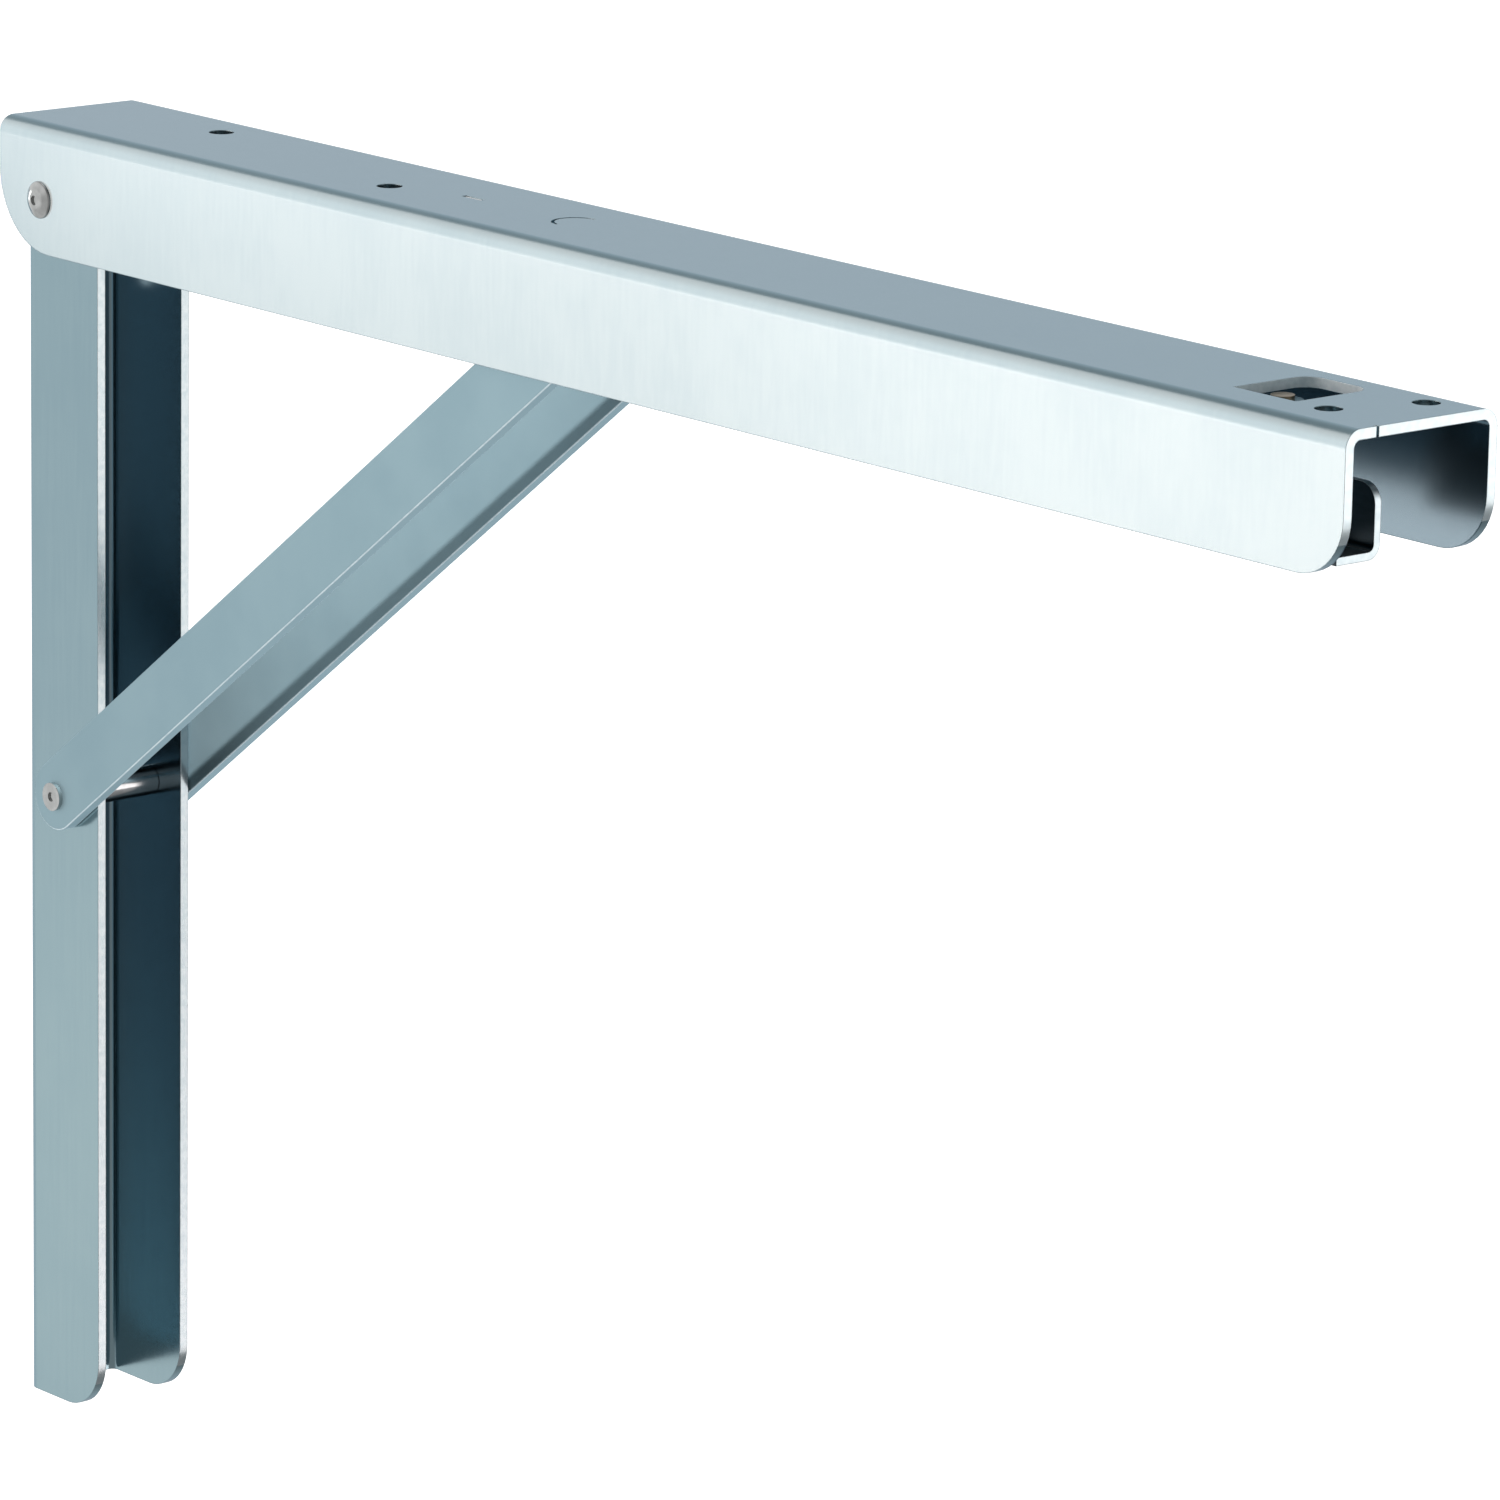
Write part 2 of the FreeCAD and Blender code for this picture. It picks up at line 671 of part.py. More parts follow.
def make_lever_rivets():
    washer_top = f"({LEVER_UNDER} - running)"
    washer_under = f"({washer_top} - lever_washer_thick)"
    foot = f"({washer_under} - running)"
    turned(
        "lever_rivet",
        [
            ("0", f"{foot} - lever_rivet_height"),
            ("lever_rivet_head / 2", f"{foot} - lever_rivet_height"),
            ("lever_rivet_head / 2", foot),
            ("lever_rivet / 2", foot),
            ("lever_rivet / 2", f"{SEAT_TOP} + running"),
            ("lever_rivet_head / 2", f"{SEAT_TOP} + running"),
            ("lever_rivet_head / 2", f"{SEAT_TOP} + running + lever_rivet_height"),
            ("0", f"{SEAT_TOP} + running + lever_rivet_height"),
        ],
        "XZ_Plane",
        AT_LEVER,
    )
    bore = "(lever_rivet / 2 + running)"
    turned(
        "lever_washer",
        [
            (bore, washer_under),
            ("lever_rivet_head / 2", washer_under),
            ("lever_rivet_head / 2", washer_top),
            (bore, washer_top),
        ],
        "XZ_Plane",
        AT_LEVER,
    )
    head = f"({ROD_UNDER} - running)"
    turned(
        "rod_rivet",
        [
            ("0", f"{head} - rod_rivet_height"),
            ("rod_rivet_head / 2", f"{head} - rod_rivet_height"),
            ("rod_rivet_head / 2", head),
            ("rod_rivet / 2", head),
            ("rod_rivet / 2", LEVER_TOP),
            ("0", LEVER_TOP),
        ],
        "XZ_Plane",
        {"x": LEVER_X, "y": ROD_Y},
    )


def make_release_rod():
    rod = new_body("release_rod")
    low_y = f"({ROD_Y} - rod_width / 2)"
    high_y = f"({ROD_Y} + rod_width / 2)"
    slot_half = "(finger_thick / 2 + finger_gap)"
    back = f"({FINGER_X} - {slot_half} - rod_sheet)"
    step = f"({FINGER_X} + {slot_half} + rod_sheet)"
    strip = new_sketch(rod, "XY_Plane", ROD_UNDER)
    outline(
        strip,
        [
            (back, low_y),
            (LEVER_X, low_y),
            (LEVER_X, high_y),
            (step, high_y),
            (step, f"{PAWL_HIGH_Y} + free_gap + rod_sheet"),
            (back, f"{PAWL_HIGH_Y} + free_gap + rod_sheet"),
        ],
    )
    pad(rod, strip, "rod_sheet")
    end = new_sketch(rod, "XY_Plane", ROD_UNDER)
    circle(end, LEVER_X, ROD_Y, "2 * rod_end")
    pad(rod, end, "rod_sheet")
    holes = new_sketch(rod, "XY_Plane", ROD_TOP)
    circle(holes, LEVER_X, ROD_Y, "rod_rivet + 2 * link_gap")
    rectangle(
        holes,
        f"{FINGER_X} - {slot_half}",
        f"{FINGER_X} + {slot_half}",
        f"{PAWL_LOW_Y} - finger_gap",
        f"{PAWL_HIGH_Y} + finger_gap",
    )
    cut(rod, holes, "rod_sheet + free_gap")

    guide = new_body("rod_guide")
    inner_low = f"({low_y} - free_gap)"
    inner_high = f"({high_y} + free_gap)"
    floor = f"({ROD_UNDER} - side_gap)"
    strap = new_sketch(guide, "YZ_Plane", f"{ARM_FRONT} - guide_back")
    outline(
        strap,
        [
            (f"{inner_low} - guide_sheet", WEB_UNDER),
            (f"{inner_low} - guide_sheet", f"{floor} - guide_sheet"),
            (f"{inner_high} + guide_sheet", f"{floor} - guide_sheet"),
            (f"{inner_high} + guide_sheet", WEB_UNDER),
            (inner_high, WEB_UNDER),
            (inner_high, floor),
            (inner_low, floor),
            (inner_low, WEB_UNDER),
        ],
    )
    pad(guide, strap, "guide_length")


def make_lock_pawl():
    pawl = new_body("lock_pawl")
    roller_top = "(pivot_z + roller_outer / 2 + hook_gap)"
    hook_face = f"({SLIDE_X} + roller_outer / 2 + hook_gap)"
    hook_tip = "(pivot_z + roller_outer / 2 - hook_reach)"
    shoulder = f"({SLIDE_X} - roller_outer / 2 + hook_gap)"
    finger_back = f"({FINGER_X} - finger_thick / 2)"
    finger_front = f"({FINGER_X} + finger_thick / 2)"
    beam_top = f"({PAWL_Z} + pawl_boss / 2 - rod_sheet - finger_gap)"
    beam_under = f"({PAWL_Z} - pawl_boss / 4)"
    boss = new_sketch(pawl, "XZ_Plane", f"-{PAWL_HIGH_Y}")
    circle(boss, PAWL_X, PAWL_Z, "pawl_boss")
    pad(pawl, boss, "pawl_thick")
    plate_across(
        pawl,
        [
            (PAWL_X, beam_under),
            (f"{shoulder} - hook_depth", beam_under),
            (shoulder, roller_top),
            (hook_face, roller_top),
            (hook_face, hook_tip),
            (f"{hook_face} + hook_thick", hook_tip),
            (f"{hook_face} + hook_thick", f"{roller_top} + hook_depth"),
            (f"{finger_front} + rod_sheet + hook_depth", f"{roller_top} + hook_depth"),
            (f"{finger_front} + rod_sheet", beam_top),
            (finger_front, beam_top),
            (finger_front, f"{ROD_TOP} + finger_above"),
            (finger_back, f"{ROD_TOP} + finger_above"),
            (finger_back, beam_top),
            (PAWL_X, beam_top),
        ],
        PAWL_HIGH_Y,
        "pawl_thick",
    )
    tail_x = f"({PAWL_X} - tail_back)"
    tail_z = f"({PAWL_Z} - tail_below)"
    tail_half = "(tail_hole / 2 + tail_rim)"
    plate_across(
        pawl,
        [
            (f"{tail_x} - {tail_half}", f"{tail_z} - {tail_half}"),
            (PAWL_X, f"{PAWL_Z} - pawl_boss / 2"),
            (f"{PAWL_X} - pawl_boss / 4", f"{PAWL_Z} + {tail_half}"),
            (f"{tail_x} - {tail_half}", f"{tail_z} + {tail_half}"),
        ],
        PAWL_HIGH_Y,
        "pawl_thick",
    )
    hole_across(pawl, PAWL_X, PAWL_Z, f"pawl_pin + {RUNNING_BORE}")
    hole_across(pawl, tail_x, tail_z, "tail_hole")

    bracket = new_body("pawl_bracket")
    ear_low = f"({PAWL_LOW_Y} - free_gap)"
    ear_high = f"({PAWL_HIGH_Y} + free_gap)"
    ear_foot = f"({PAWL_Z} - bracket_below)"
    saddle = new_sketch(bracket, "YZ_Plane", f"{PAWL_X} - bracket_length / 2")
    outline(
        saddle,
        [
            (f"{ear_low} - bracket_sheet", WEB_UNDER),
            (f"{ear_low} - bracket_sheet", ear_foot),
            (ear_low, ear_foot),
            (ear_low, f"{WEB_UNDER} - bracket_sheet"),
            (ear_high, f"{WEB_UNDER} - bracket_sheet"),
            (ear_high, ear_foot),
            (f"{ear_high} + bracket_sheet", ear_foot),
            (f"{ear_high} + bracket_sheet", WEB_UNDER),
        ],
    )
    pad(bracket, saddle, "bracket_length")
    for x in (f"{PAWL_X} - bracket_length / 2", f"{PAWL_X} + bracket_length / 2"):
        round_edges(bracket, "bracket_below - free_gap", x=x, z=ear_foot)
    hole_across(bracket, PAWL_X, PAWL_Z, f"pawl_pin + {RUNNING_BORE}")

    half_grip = "(pawl_thick / 2 + free_gap + bracket_sheet + running)"
    place = {"x": PAWL_X, "y": "pawl_y", "z": PAWL_Z}
    headed_pin("pawl_pin", "pawl_pin", half_grip, "pawl_pin_head", "pawl_pin_head_height", place, dimple=False)


def strand(points, radius):
    """Round wire along straight runs, with a ball at each bend and end."""
    pieces = [Part.makeSphere(radius, point) for point in points]
    for start, end in zip(points, points[1:]):
        run = end - start
        pieces.append(Part.makeCylinder(radius, run.Length, start, run))
    return pieces[0].fuse(pieces[1:])


def make_return_spring():
    """Coil with a hook lying in the web's slot and a hook through the pawl's tail."""
    wire = size("spring_wire")
    radius = size("spring_coil - spring_wire") / 2
    turns = size("spring_turns")
    lying = size(f"{ARM_TOP} - spring_wire / 2 - running")
    slot_y = size("anchor_slot_y")
    slot_back = size(ANCHOR_SLOT) + wire
    slot_front = size(f"{ANCHOR_SLOT} + anchor_slot_length") - wire
    tail = V(size(f"{PAWL_X} - tail_back"), size("pawl_y"), size(f"{PAWL_Z} - tail_below"))
    outside = V(tail.x, size(PAWL_HIGH_Y) + wire, tail.z)

    upper = V(slot_front, slot_y, size(WEB_UNDER) - wire)
    lower = V(tail.x - 2 * wire, outside.y + wire, tail.z + wire)
    turning = FreeCAD.Rotation(V(0, 0, 1), lower - upper)
    lead = 3 * wire
    height = (lower - upper).Length - 2 * lead
    helix = Part.makeHelix(height / turns, height, radius)
    section = Part.Wire(Part.makeCircle(wire / 2, V(radius, 0, 0), V(0, 1, 0)))
    coil = Part.Wire(helix.Edges).makePipeShell([section], True, True)
    coil.Placement = FreeCAD.Placement(upper + turning.multVec(V(0, 0, lead)), turning)
    coil_top = upper + turning.multVec(V(radius, 0, lead))
    coil_foot = upper + turning.multVec(V(radius, 0, lead + height))

    slot_hook = [V(slot_back, slot_y, lying), V(slot_front, slot_y, lying), upper, coil_top]
    tail_hook = [coil_foot, lower, outside, V(tail.x, size(PAWL_LOW_Y) - wire, tail.z)]
    spring = doc.addObject("Part::Feature", "return_spring")
    spring.Label = "return_spring"
    spring.Shape = coil.fuse([strand(slot_hook, wire / 2), strand(tail_hook, wire / 2)]).removeSplitter()
    return spring


make_wall_rail()
make_arm()
make_pivot()
make_strut()
make_slider()
make_release_lever()
make_lever_rivets()
make_release_rod()
make_lock_pawl()
make_return_spring()
doc.recompute()

broken = [item.Label for item in doc.Objects if {"Invalid", "Error"} & set(item.State)]
if broken:
    raise RuntimeError(f"these objects failed to build: {broken}")

pieces = [item for item in doc.Objects if item.TypeId == "PartDesign::Body"]
pieces += [item for item in doc.Objects if item.TypeId == "Part::Feature"]
for piece in pieces:
    if piece.Shape.isNull() or not piece.Shape.isValid() or len(piece.Shape.Solids) != 1:
        raise RuntimeError(f"{piece.Label} is not one sound solid")

os.makedirs("parts", exist_ok=True)
for piece in pieces:
    piece.Shape.exportStep(f"parts/{piece.Label}.step")
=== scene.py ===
import json
import math

import bpy
from mathutils import Matrix, Vector


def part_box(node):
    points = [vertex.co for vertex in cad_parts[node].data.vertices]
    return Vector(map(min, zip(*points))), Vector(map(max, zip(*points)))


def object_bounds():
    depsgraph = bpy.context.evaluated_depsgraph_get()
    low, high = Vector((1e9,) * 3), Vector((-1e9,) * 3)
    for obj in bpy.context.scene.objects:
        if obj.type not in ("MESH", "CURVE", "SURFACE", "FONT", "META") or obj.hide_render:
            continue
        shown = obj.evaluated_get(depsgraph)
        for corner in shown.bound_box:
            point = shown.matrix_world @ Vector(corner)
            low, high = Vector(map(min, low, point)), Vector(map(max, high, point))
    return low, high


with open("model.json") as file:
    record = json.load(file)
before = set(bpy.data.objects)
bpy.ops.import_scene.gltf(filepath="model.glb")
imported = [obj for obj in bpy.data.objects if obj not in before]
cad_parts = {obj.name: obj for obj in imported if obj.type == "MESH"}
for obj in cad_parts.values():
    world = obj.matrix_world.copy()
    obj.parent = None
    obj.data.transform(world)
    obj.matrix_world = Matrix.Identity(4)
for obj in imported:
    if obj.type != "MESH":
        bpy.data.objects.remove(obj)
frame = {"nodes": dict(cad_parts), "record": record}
cad_low, cad_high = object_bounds()
nodes = frame["nodes"]

MM = 0.001
SHEET = 2.0 * MM

# The lever's window in the arm's web, measured back from the arm's front and in from its side.
WINDOW_BACK = 24.0 * MM
WINDOW_LENGTH = 16.0 * MM
WINDOW_INSET = 5.0 * MM
WINDOW_INSET_FADE = 1.0 * MM

# Where masks begin and are full, measured from the face or edge that they follow.
WINDOW_FADE = (0.2 * MM, 0.5 * MM)
WEB_FADE = (0.05 * MM, 0.1 * MM)
HOLLOW_FADE = (0.1 * MM, 0.5 * MM)
EDGE_FADE = (1.0 * MM, 1.2 * MM)

# How far a face leans towards an axis where a mask begins and where it is full.
CUT_FACE = (0.55, 0.75)
TURNED_FACE = (0.3, 0.5)
SEAT_FACE = (0.4, 0.6)
LOWER_FACE = (0.0, 0.2)
CORNER_START = (0.15, 0.4)
CORNER_END = (0.9, 0.99)

# The photographer's stand: long lens, to the right of the finger lever's side and a little above.
CAMERA_AZIMUTH = math.radians(49.55)
CAMERA_ELEVATION = math.radians(13.67)
CAMERA_ROLL = math.radians(1.0)
CAMERA_PLACE = Vector((1.43595, -1.03474, 0.45047))
CAMERA_LENS = 205.3
CAMERA_REACH = 50.0
SENSOR = 36.0

# Plated sheet is a cold, slightly green grey; sheared edges show paler metal.
ZINC_PALE = (0.262, 0.368, 0.408, 1.0)
ZINC_DEEP = (0.245, 0.350, 0.392, 1.0)
ZINC_GLANCING = (0.68, 0.74, 0.80, 1.0)
# Painted shade: darker tones for the inner faces of the arm and of the rail.
ARM_PAINTED_SHADE = (0.10, 0.165, 0.205, 1.0)
RAIL_PAINTED_SHADE = (0.22, 0.305, 0.35, 1.0)
RAIL_PALE = (0.290, 0.405, 0.445, 1.0)
RAIL_DEEP = (0.272, 0.386, 0.430, 1.0)
# Painted shade: near-black tones for the lever, which sits in the shade inside the arm.
LEVER_SHADE_PALE = (0.075, 0.09, 0.10, 1.0)
LEVER_SHADE_DEEP = (0.055, 0.068, 0.075, 1.0)
# Paler metal of sheared edges; the same tones give the painted highlight on the strut bars' lower corners.
SHEARED_AND_HIGHLIGHT = (0.66, 0.75, 0.78, 1.0)
SHEARED_AND_HIGHLIGHT_DARK = (0.58, 0.68, 0.72, 1.0)
RAIL_SHEARED = (0.485, 0.55, 0.575, 1.0)
RAIL_SHEARED_DARK = (0.425, 0.50, 0.53, 1.0)
NYLON_PALE = (0.022, 0.022, 0.025, 1.0)
NYLON_DEEP = (0.010, 0.010, 0.012, 1.0)

# The painted shade in the rail's hollow keeps this share of its strength at the foot.
FOOT_SHADE_SHARE = 0.1

# Scales of the patterns in the finishes.
CLOUD_SCALE = 42.0
SPANGLE_SCALE = 260.0
GRAIN_SCALE = 900.0
TORN_SCALE = 700.0
STAIN_SCALE = 300.0
SCRATCH_SCALE = 1800.0
NYLON_SCALE = 2500.0
SOFT_SPOTS = (0.35, 0.65)
SOFT_SPECKS = (0.3, 0.7)
CLOUD_SHARE = 0.6

# What each pattern adds to the roughness.
CLOUD_ROUGH = 0.03
GRAIN_ROUGH = 0.05
SPANGLE_ROUGH = 0.02
SHEARED_ROUGH = 0.08
TORN_ROUGH = 0.45
STAIN_ROUGH = 0.1
NYLON_ROUGH = 0.15

GRAIN_DEPTH = 0.02 * MM
NYLON_DEPTH = 0.03 * MM
SHEET_CORNER = 0.25 * MM
SMALL_CORNER = 0.15 * MM
CORNER_SAMPLES = 6

# A Mix node's colour sockets share their names with its number sockets, so they go by place.
MIX_FIRST = 6
MIX_SECOND = 7
MIX_RESULT = 2

FLOOR_GAP = 4.0 * MM
FLOOR_HALF = 6.0
FLOOR_SCALE = 30.0
FLOOR_PALE = (0.89, 0.89, 0.89, 1.0)
FLOOR_DEEP = (0.86, 0.87, 0.87, 1.0)
FULL_WHITE = (1.0, 1.0, 1.0, 1.0)

# Tints of the lamps.
WHITE = (1.0, 1.0, 1.0)
FLANGE_LIGHT = (1.0, 0.68, 0.58)
BEND_LIGHT = (1.0, 0.73, 0.64)
BAR_LIGHT = (1.0, 0.955, 0.935)
RAIL_LIGHT = (1.0, 0.82, 0.62)
HOLLOW_LIGHT = (1.0, 0.88, 0.86)
EDGE_LIGHT = (1.0, 0.94, 0.91)

# Pieces that a lamp reaches, or whose shadow it casts.
ARM = ["arm_channel"]
RAIL = ["wall_rail"]
PIVOT = ["pivot_pin"]
SLEEVE = ["strut_sleeve"]
NEAR_BAR = ["strut_bar_near"]
FAR_BAR = ["strut_bar_far"]
BOTH_BARS = NEAR_BAR + FAR_BAR

# Places, targets and sizes that more than one lamp has.
CARD_SIZE = (0.85, 0.26)
KEY_PLACE = (0.10, -1.55, 1.00)
KEY_TARGET = (0.10, 0.0, 0.08)
KEY_SIZE = (0.10, 0.05)
FILL_PLACE = (-0.31, -0.31, -0.08)
FILL_TARGET = (0.06, 0.0, 0.035)
FILL_SIZE = (0.12, 0.12)


class Shade:
    """A value in a node tree; arithmetic on it adds Math nodes."""

    def __init__(self, paint, socket):
        self.paint = paint
        self.socket = socket

    def math(self, operation, first, second=0.0):
        return self.paint.add("ShaderNodeMath", {"operation": operation}, {0: first, 1: second})

    def __add__(self, other):
        return self.math("ADD", self, other)

    __radd__ = __add__

    def __sub__(self, other):
        return self.math("SUBTRACT", self, other)

    def __rsub__(self, other):
        return self.math("SUBTRACT", other, self)

    def __mul__(self, other):
        return self.math("MULTIPLY", self, other)

    __rmul__ = __mul__

    def __abs__(self):
        return self.math("ABSOLUTE", self)

    def larger(self, other):
        return self.math("MAXIMUM", self, other)

    def rise(self, low, high):
        """Smooth step from 0 at low to 1 at high."""
        sockets = {"Value": self, "From Min": low, "From Max": high}
        return self.paint.add("ShaderNodeMapRange", {"interpolation_type": "SMOOTHSTEP"}, sockets)

    def past(self, face, fade):
        """Smooth step from 0 to 1 that lies beyond a face."""
        begin, full = fade
        return self.rise(face + begin, face + full)

    def up_to(self, face, fade):
        """Smooth step from 0 to 1 that lies before a face."""
        full, begin = fade
        return self.rise(face - begin, face - full)


class Paint:
    """A node tree under construction, for a material or the world."""

    def __init__(self, owner):
        owner.use_nodes = True
        self.owner = owner
        self.tree = owner.node_tree
        self.tree.nodes.clear()

    def add(self, kind, settings=None, sockets=None, output=0):
        node = self.tree.nodes.new(kind)
        for name, value in (settings or {}).items():
            setattr(node, name, value)
        for key, value in (sockets or {}).items():
            if isinstance(value, Shade):
                self.tree.links.new(value.socket, node.inputs[key])
            else:
                node.inputs[key].default_value = value
        return Shade(self, node.outputs[output] if node.outputs else None)

    def place(self):
        return self.add("ShaderNodeTexCoord", output="Object")

    def facing(self):
        return self.add("ShaderNodeTexCoord", output="Normal")

    def part(self, vector, axis):
        return self.add("ShaderNodeSeparateXYZ", {}, {0: vector}, output=axis)

    def stretched(self, vector, scale):
        return self.add("ShaderNodeMapping", {}, {"Vector": vector, "Scale": scale})

    def noise(self, vector, scale, detail=2.0, roughness=0.5):
        sockets = {"Vector": vector, "Scale": scale, "Detail": detail, "Roughness": roughness}
        return self.add("ShaderNodeTexNoise", {}, sockets)

    def blend(self, factor, first, second):
        """Colour between first and second."""
        sockets = {"Factor": factor, MIX_FIRST: first, MIX_SECOND: second}
        return self.add("ShaderNodeMix", {"data_type": "RGBA"}, sockets, output=MIX_RESULT)

    def rounded(self, radius):
        return self.add("ShaderNodeBevel", {"samples": CORNER_SAMPLES}, {"Radius": radius})

    def bump(self, height, depth, strength, normal):
        sockets = {"Height": height, "Distance": depth, "Strength": strength, "Normal": normal}
        return self.add("ShaderNodeBump", {}, sockets)

    def surface(self, colour, roughness, normal, metallic=1.0, glancing=FULL_WHITE):
        """Ends a piece's material, metal unless told otherwise."""
        sockets = {
            "Base Color": colour,
            "Roughness": roughness,
            "Metallic": metallic,
            "Normal": normal,
            "Specular Tint": glancing,
        }
        shader = self.add("ShaderNodeBsdfPrincipled", {}, sockets)
        self.add("ShaderNodeOutputMaterial", {}, {"Surface": shader})
        return self.owner


def new_paint(name):
    return Paint(bpy.data.materials.new(name))


def sheared_edges(paint, front, foot):
    """1 on a sheet's cut edges: those at its front, and those that face down at its foot."""
    facing = paint.facing()
    place = paint.place()
    across = abs(paint.part(facing, "X")).rise(*CUT_FACE)
    down = (paint.part(facing, "Z") * -1.0).rise(*CUT_FACE)
    at_front = paint.part(place, "X").up_to(front, EDGE_FADE)
    at_foot = 1.0 - paint.part(place, "Z").past(foot, EDGE_FADE)
    return (across * at_front).larger(down * at_foot)


def zinc_sheet(name, grain, edges, gloss, hollow=None, painted_shade=None, tones=(ZINC_DEEP, ZINC_PALE),
               torn_edges=None, sheared=(SHEARED_AND_HIGHLIGHT_DARK, SHEARED_AND_HIGHLIGHT)):
    """Bright zinc on rolled sheet: faintly cloudy plating, fine grain along the rolling, sheared edges; on
    the strut's rounded corners the edge colour is a painted highlight.

    Inside a hollow the faces take a painted shade, and torn edges are rough.
    """
    paint = new_paint(name)
    place = paint.place()
    clouds = paint.noise(place, CLOUD_SCALE, detail=3.0, roughness=0.55)
    spangle = paint.noise(place, SPANGLE_SCALE)
    lines = paint.noise(paint.stretched(place, grain), GRAIN_SCALE, roughness=0.6)
    pattern = CLOUD_SHARE * clouds + (1.0 - CLOUD_SHARE) * lines
    plated = paint.blend(pattern.rise(*SOFT_SPOTS), *tones)
    # Painted shade on the inner faces of a hollow.
    if hollow:
        plated = paint.blend(hollow(paint), plated, painted_shade)
    mask = edges(paint)
    torn = paint.noise(place, TORN_SCALE)
    edge_colour = paint.blend(torn.rise(*SOFT_SPECKS), *sheared)
    colour = paint.blend(mask, plated, edge_colour)
    patterns = CLOUD_ROUGH * clouds + GRAIN_ROUGH * lines + SPANGLE_ROUGH * spangle
    roughness = gloss + patterns + SHEARED_ROUGH * mask
    if torn_edges:
        roughness = roughness + TORN_ROUGH * torn_edges(paint)
    normal = paint.bump(lines, depth=GRAIN_DEPTH, strength=0.12, normal=paint.rounded(SHEET_CORNER))
    return paint.surface(colour, roughness, normal, glancing=ZINC_GLANCING)


def plain_metal(name, clean, stained, roughness):
    """Turned, drawn or pressed metal with a little staining."""
    paint = new_paint(name)
    place = paint.place()
    stain = paint.noise(place, STAIN_SCALE, detail=3.0)
    scratches = paint.noise(place, SCRATCH_SCALE)
    tone = paint.blend(stain.rise(*SOFT_SPOTS), clean, stained)
    normal = paint.bump(scratches, depth=GRAIN_DEPTH, strength=0.1, normal=paint.rounded(SMALL_CORNER))
    return paint.surface(tone, roughness + STAIN_ROUGH * stain, normal)


def moulded_nylon(name, roughness):
    """Black nylon with a fine moulded grain."""
    paint = new_paint(name)
    grain = paint.noise(paint.place(), NYLON_SCALE)
    tone = paint.blend(grain.rise(*SOFT_SPECKS), NYLON_DEEP, NYLON_PALE)
    normal = paint.bump(grain, depth=NYLON_DEPTH, strength=0.15, normal=paint.rounded(SMALL_CORNER))
    return paint.surface(tone, roughness + NYLON_ROUGH * grain, normal, metallic=0.0)


def window_walls(paint):
    """1 on the walls of the lever's window in the arm's web."""
    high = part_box("arm_channel")[1]
    place = paint.place()
    side = high.y - WINDOW_INSET
    upright = 1.0 - abs(paint.part(paint.facing(), "Z")).rise(*TURNED_FACE)
    inside = 1.0 - abs(paint.part(place, "Y")).rise(side - WINDOW_INSET_FADE, side)
    in_web = paint.part(place, "Z").past(high.z - SHEET, WEB_FADE)
    behind = (paint.part(place, "X") - (high.x - WINDOW_BACK)) * -1.0
    begun = behind.up_to(0.0, WINDOW_FADE)
    ended = behind.past(WINDOW_LENGTH, WINDOW_FADE)
    return upright * inside * in_web * begun * (1.0 - ended)


def arm_edges(paint):
    """1 on the arm's cut edges and on the walls of the lever's window."""
    low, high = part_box("arm_channel")
    return sheared_edges(paint, high.x, low.z).larger(window_walls(paint))


def arm_painted_shade_mask(paint):
    """1 on the arm's inner faces, between its sides and under its web, but not on the lever's seat: where
    shade is painted.
    """
    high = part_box("arm_channel")[1]
    sideways = abs(paint.part(paint.place(), "Y")).past(high.y - SHEET, HOLLOW_FADE)
    upwards = paint.part(paint.place(), "Z").past(high.z - SHEET, HOLLOW_FADE)
    seat = paint.part(paint.facing(), "Z").rise(*SEAT_FACE)
    return (1.0 - sideways) * (1.0 - upwards) * (1.0 - seat)


def rail_painted_shade_mask(paint):
    """1 on the rail's inner faces, between its sides and in front of its back, less towards the foot: where
    shade is painted.
    """
    low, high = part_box("wall_rail")
    sideways = abs(paint.part(paint.place(), "Y")).past(high.y - SHEET, HOLLOW_FADE)
    forwards = paint.part(paint.place(), "X").up_to(SHEET, HOLLOW_FADE)
    upwards = paint.part(paint.place(), "Z").rise(low.z, 0.0)
    return (1.0 - sideways) * forwards * (FOOT_SHADE_SHARE + (1.0 - FOOT_SHADE_SHARE) * upwards)


def rail_edges(paint):
    """1 on the rail's cut edges."""
    low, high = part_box("wall_rail")
    return sheared_edges(paint, high.x, low.z)


def flat_edges(paint):
    """1 on every face of a flat piece but those that face sideways."""
    return 1.0 - abs(paint.part(paint.facing(), "Y")).rise(*TURNED_FACE)


def painted_highlight_corners(paint):
    """1 on the rounded lower corners of a bar, where a highlight is painted, and 0 on its faces and edges.
    """
    sideways = abs(paint.part(paint.facing(), "Y"))
    downwards = (paint.part(paint.facing(), "Z") * -1.0).rise(*LOWER_FACE)
    return sideways.rise(*CORNER_START) * (1.0 - sideways.rise(*CORNER_END)) * downwards


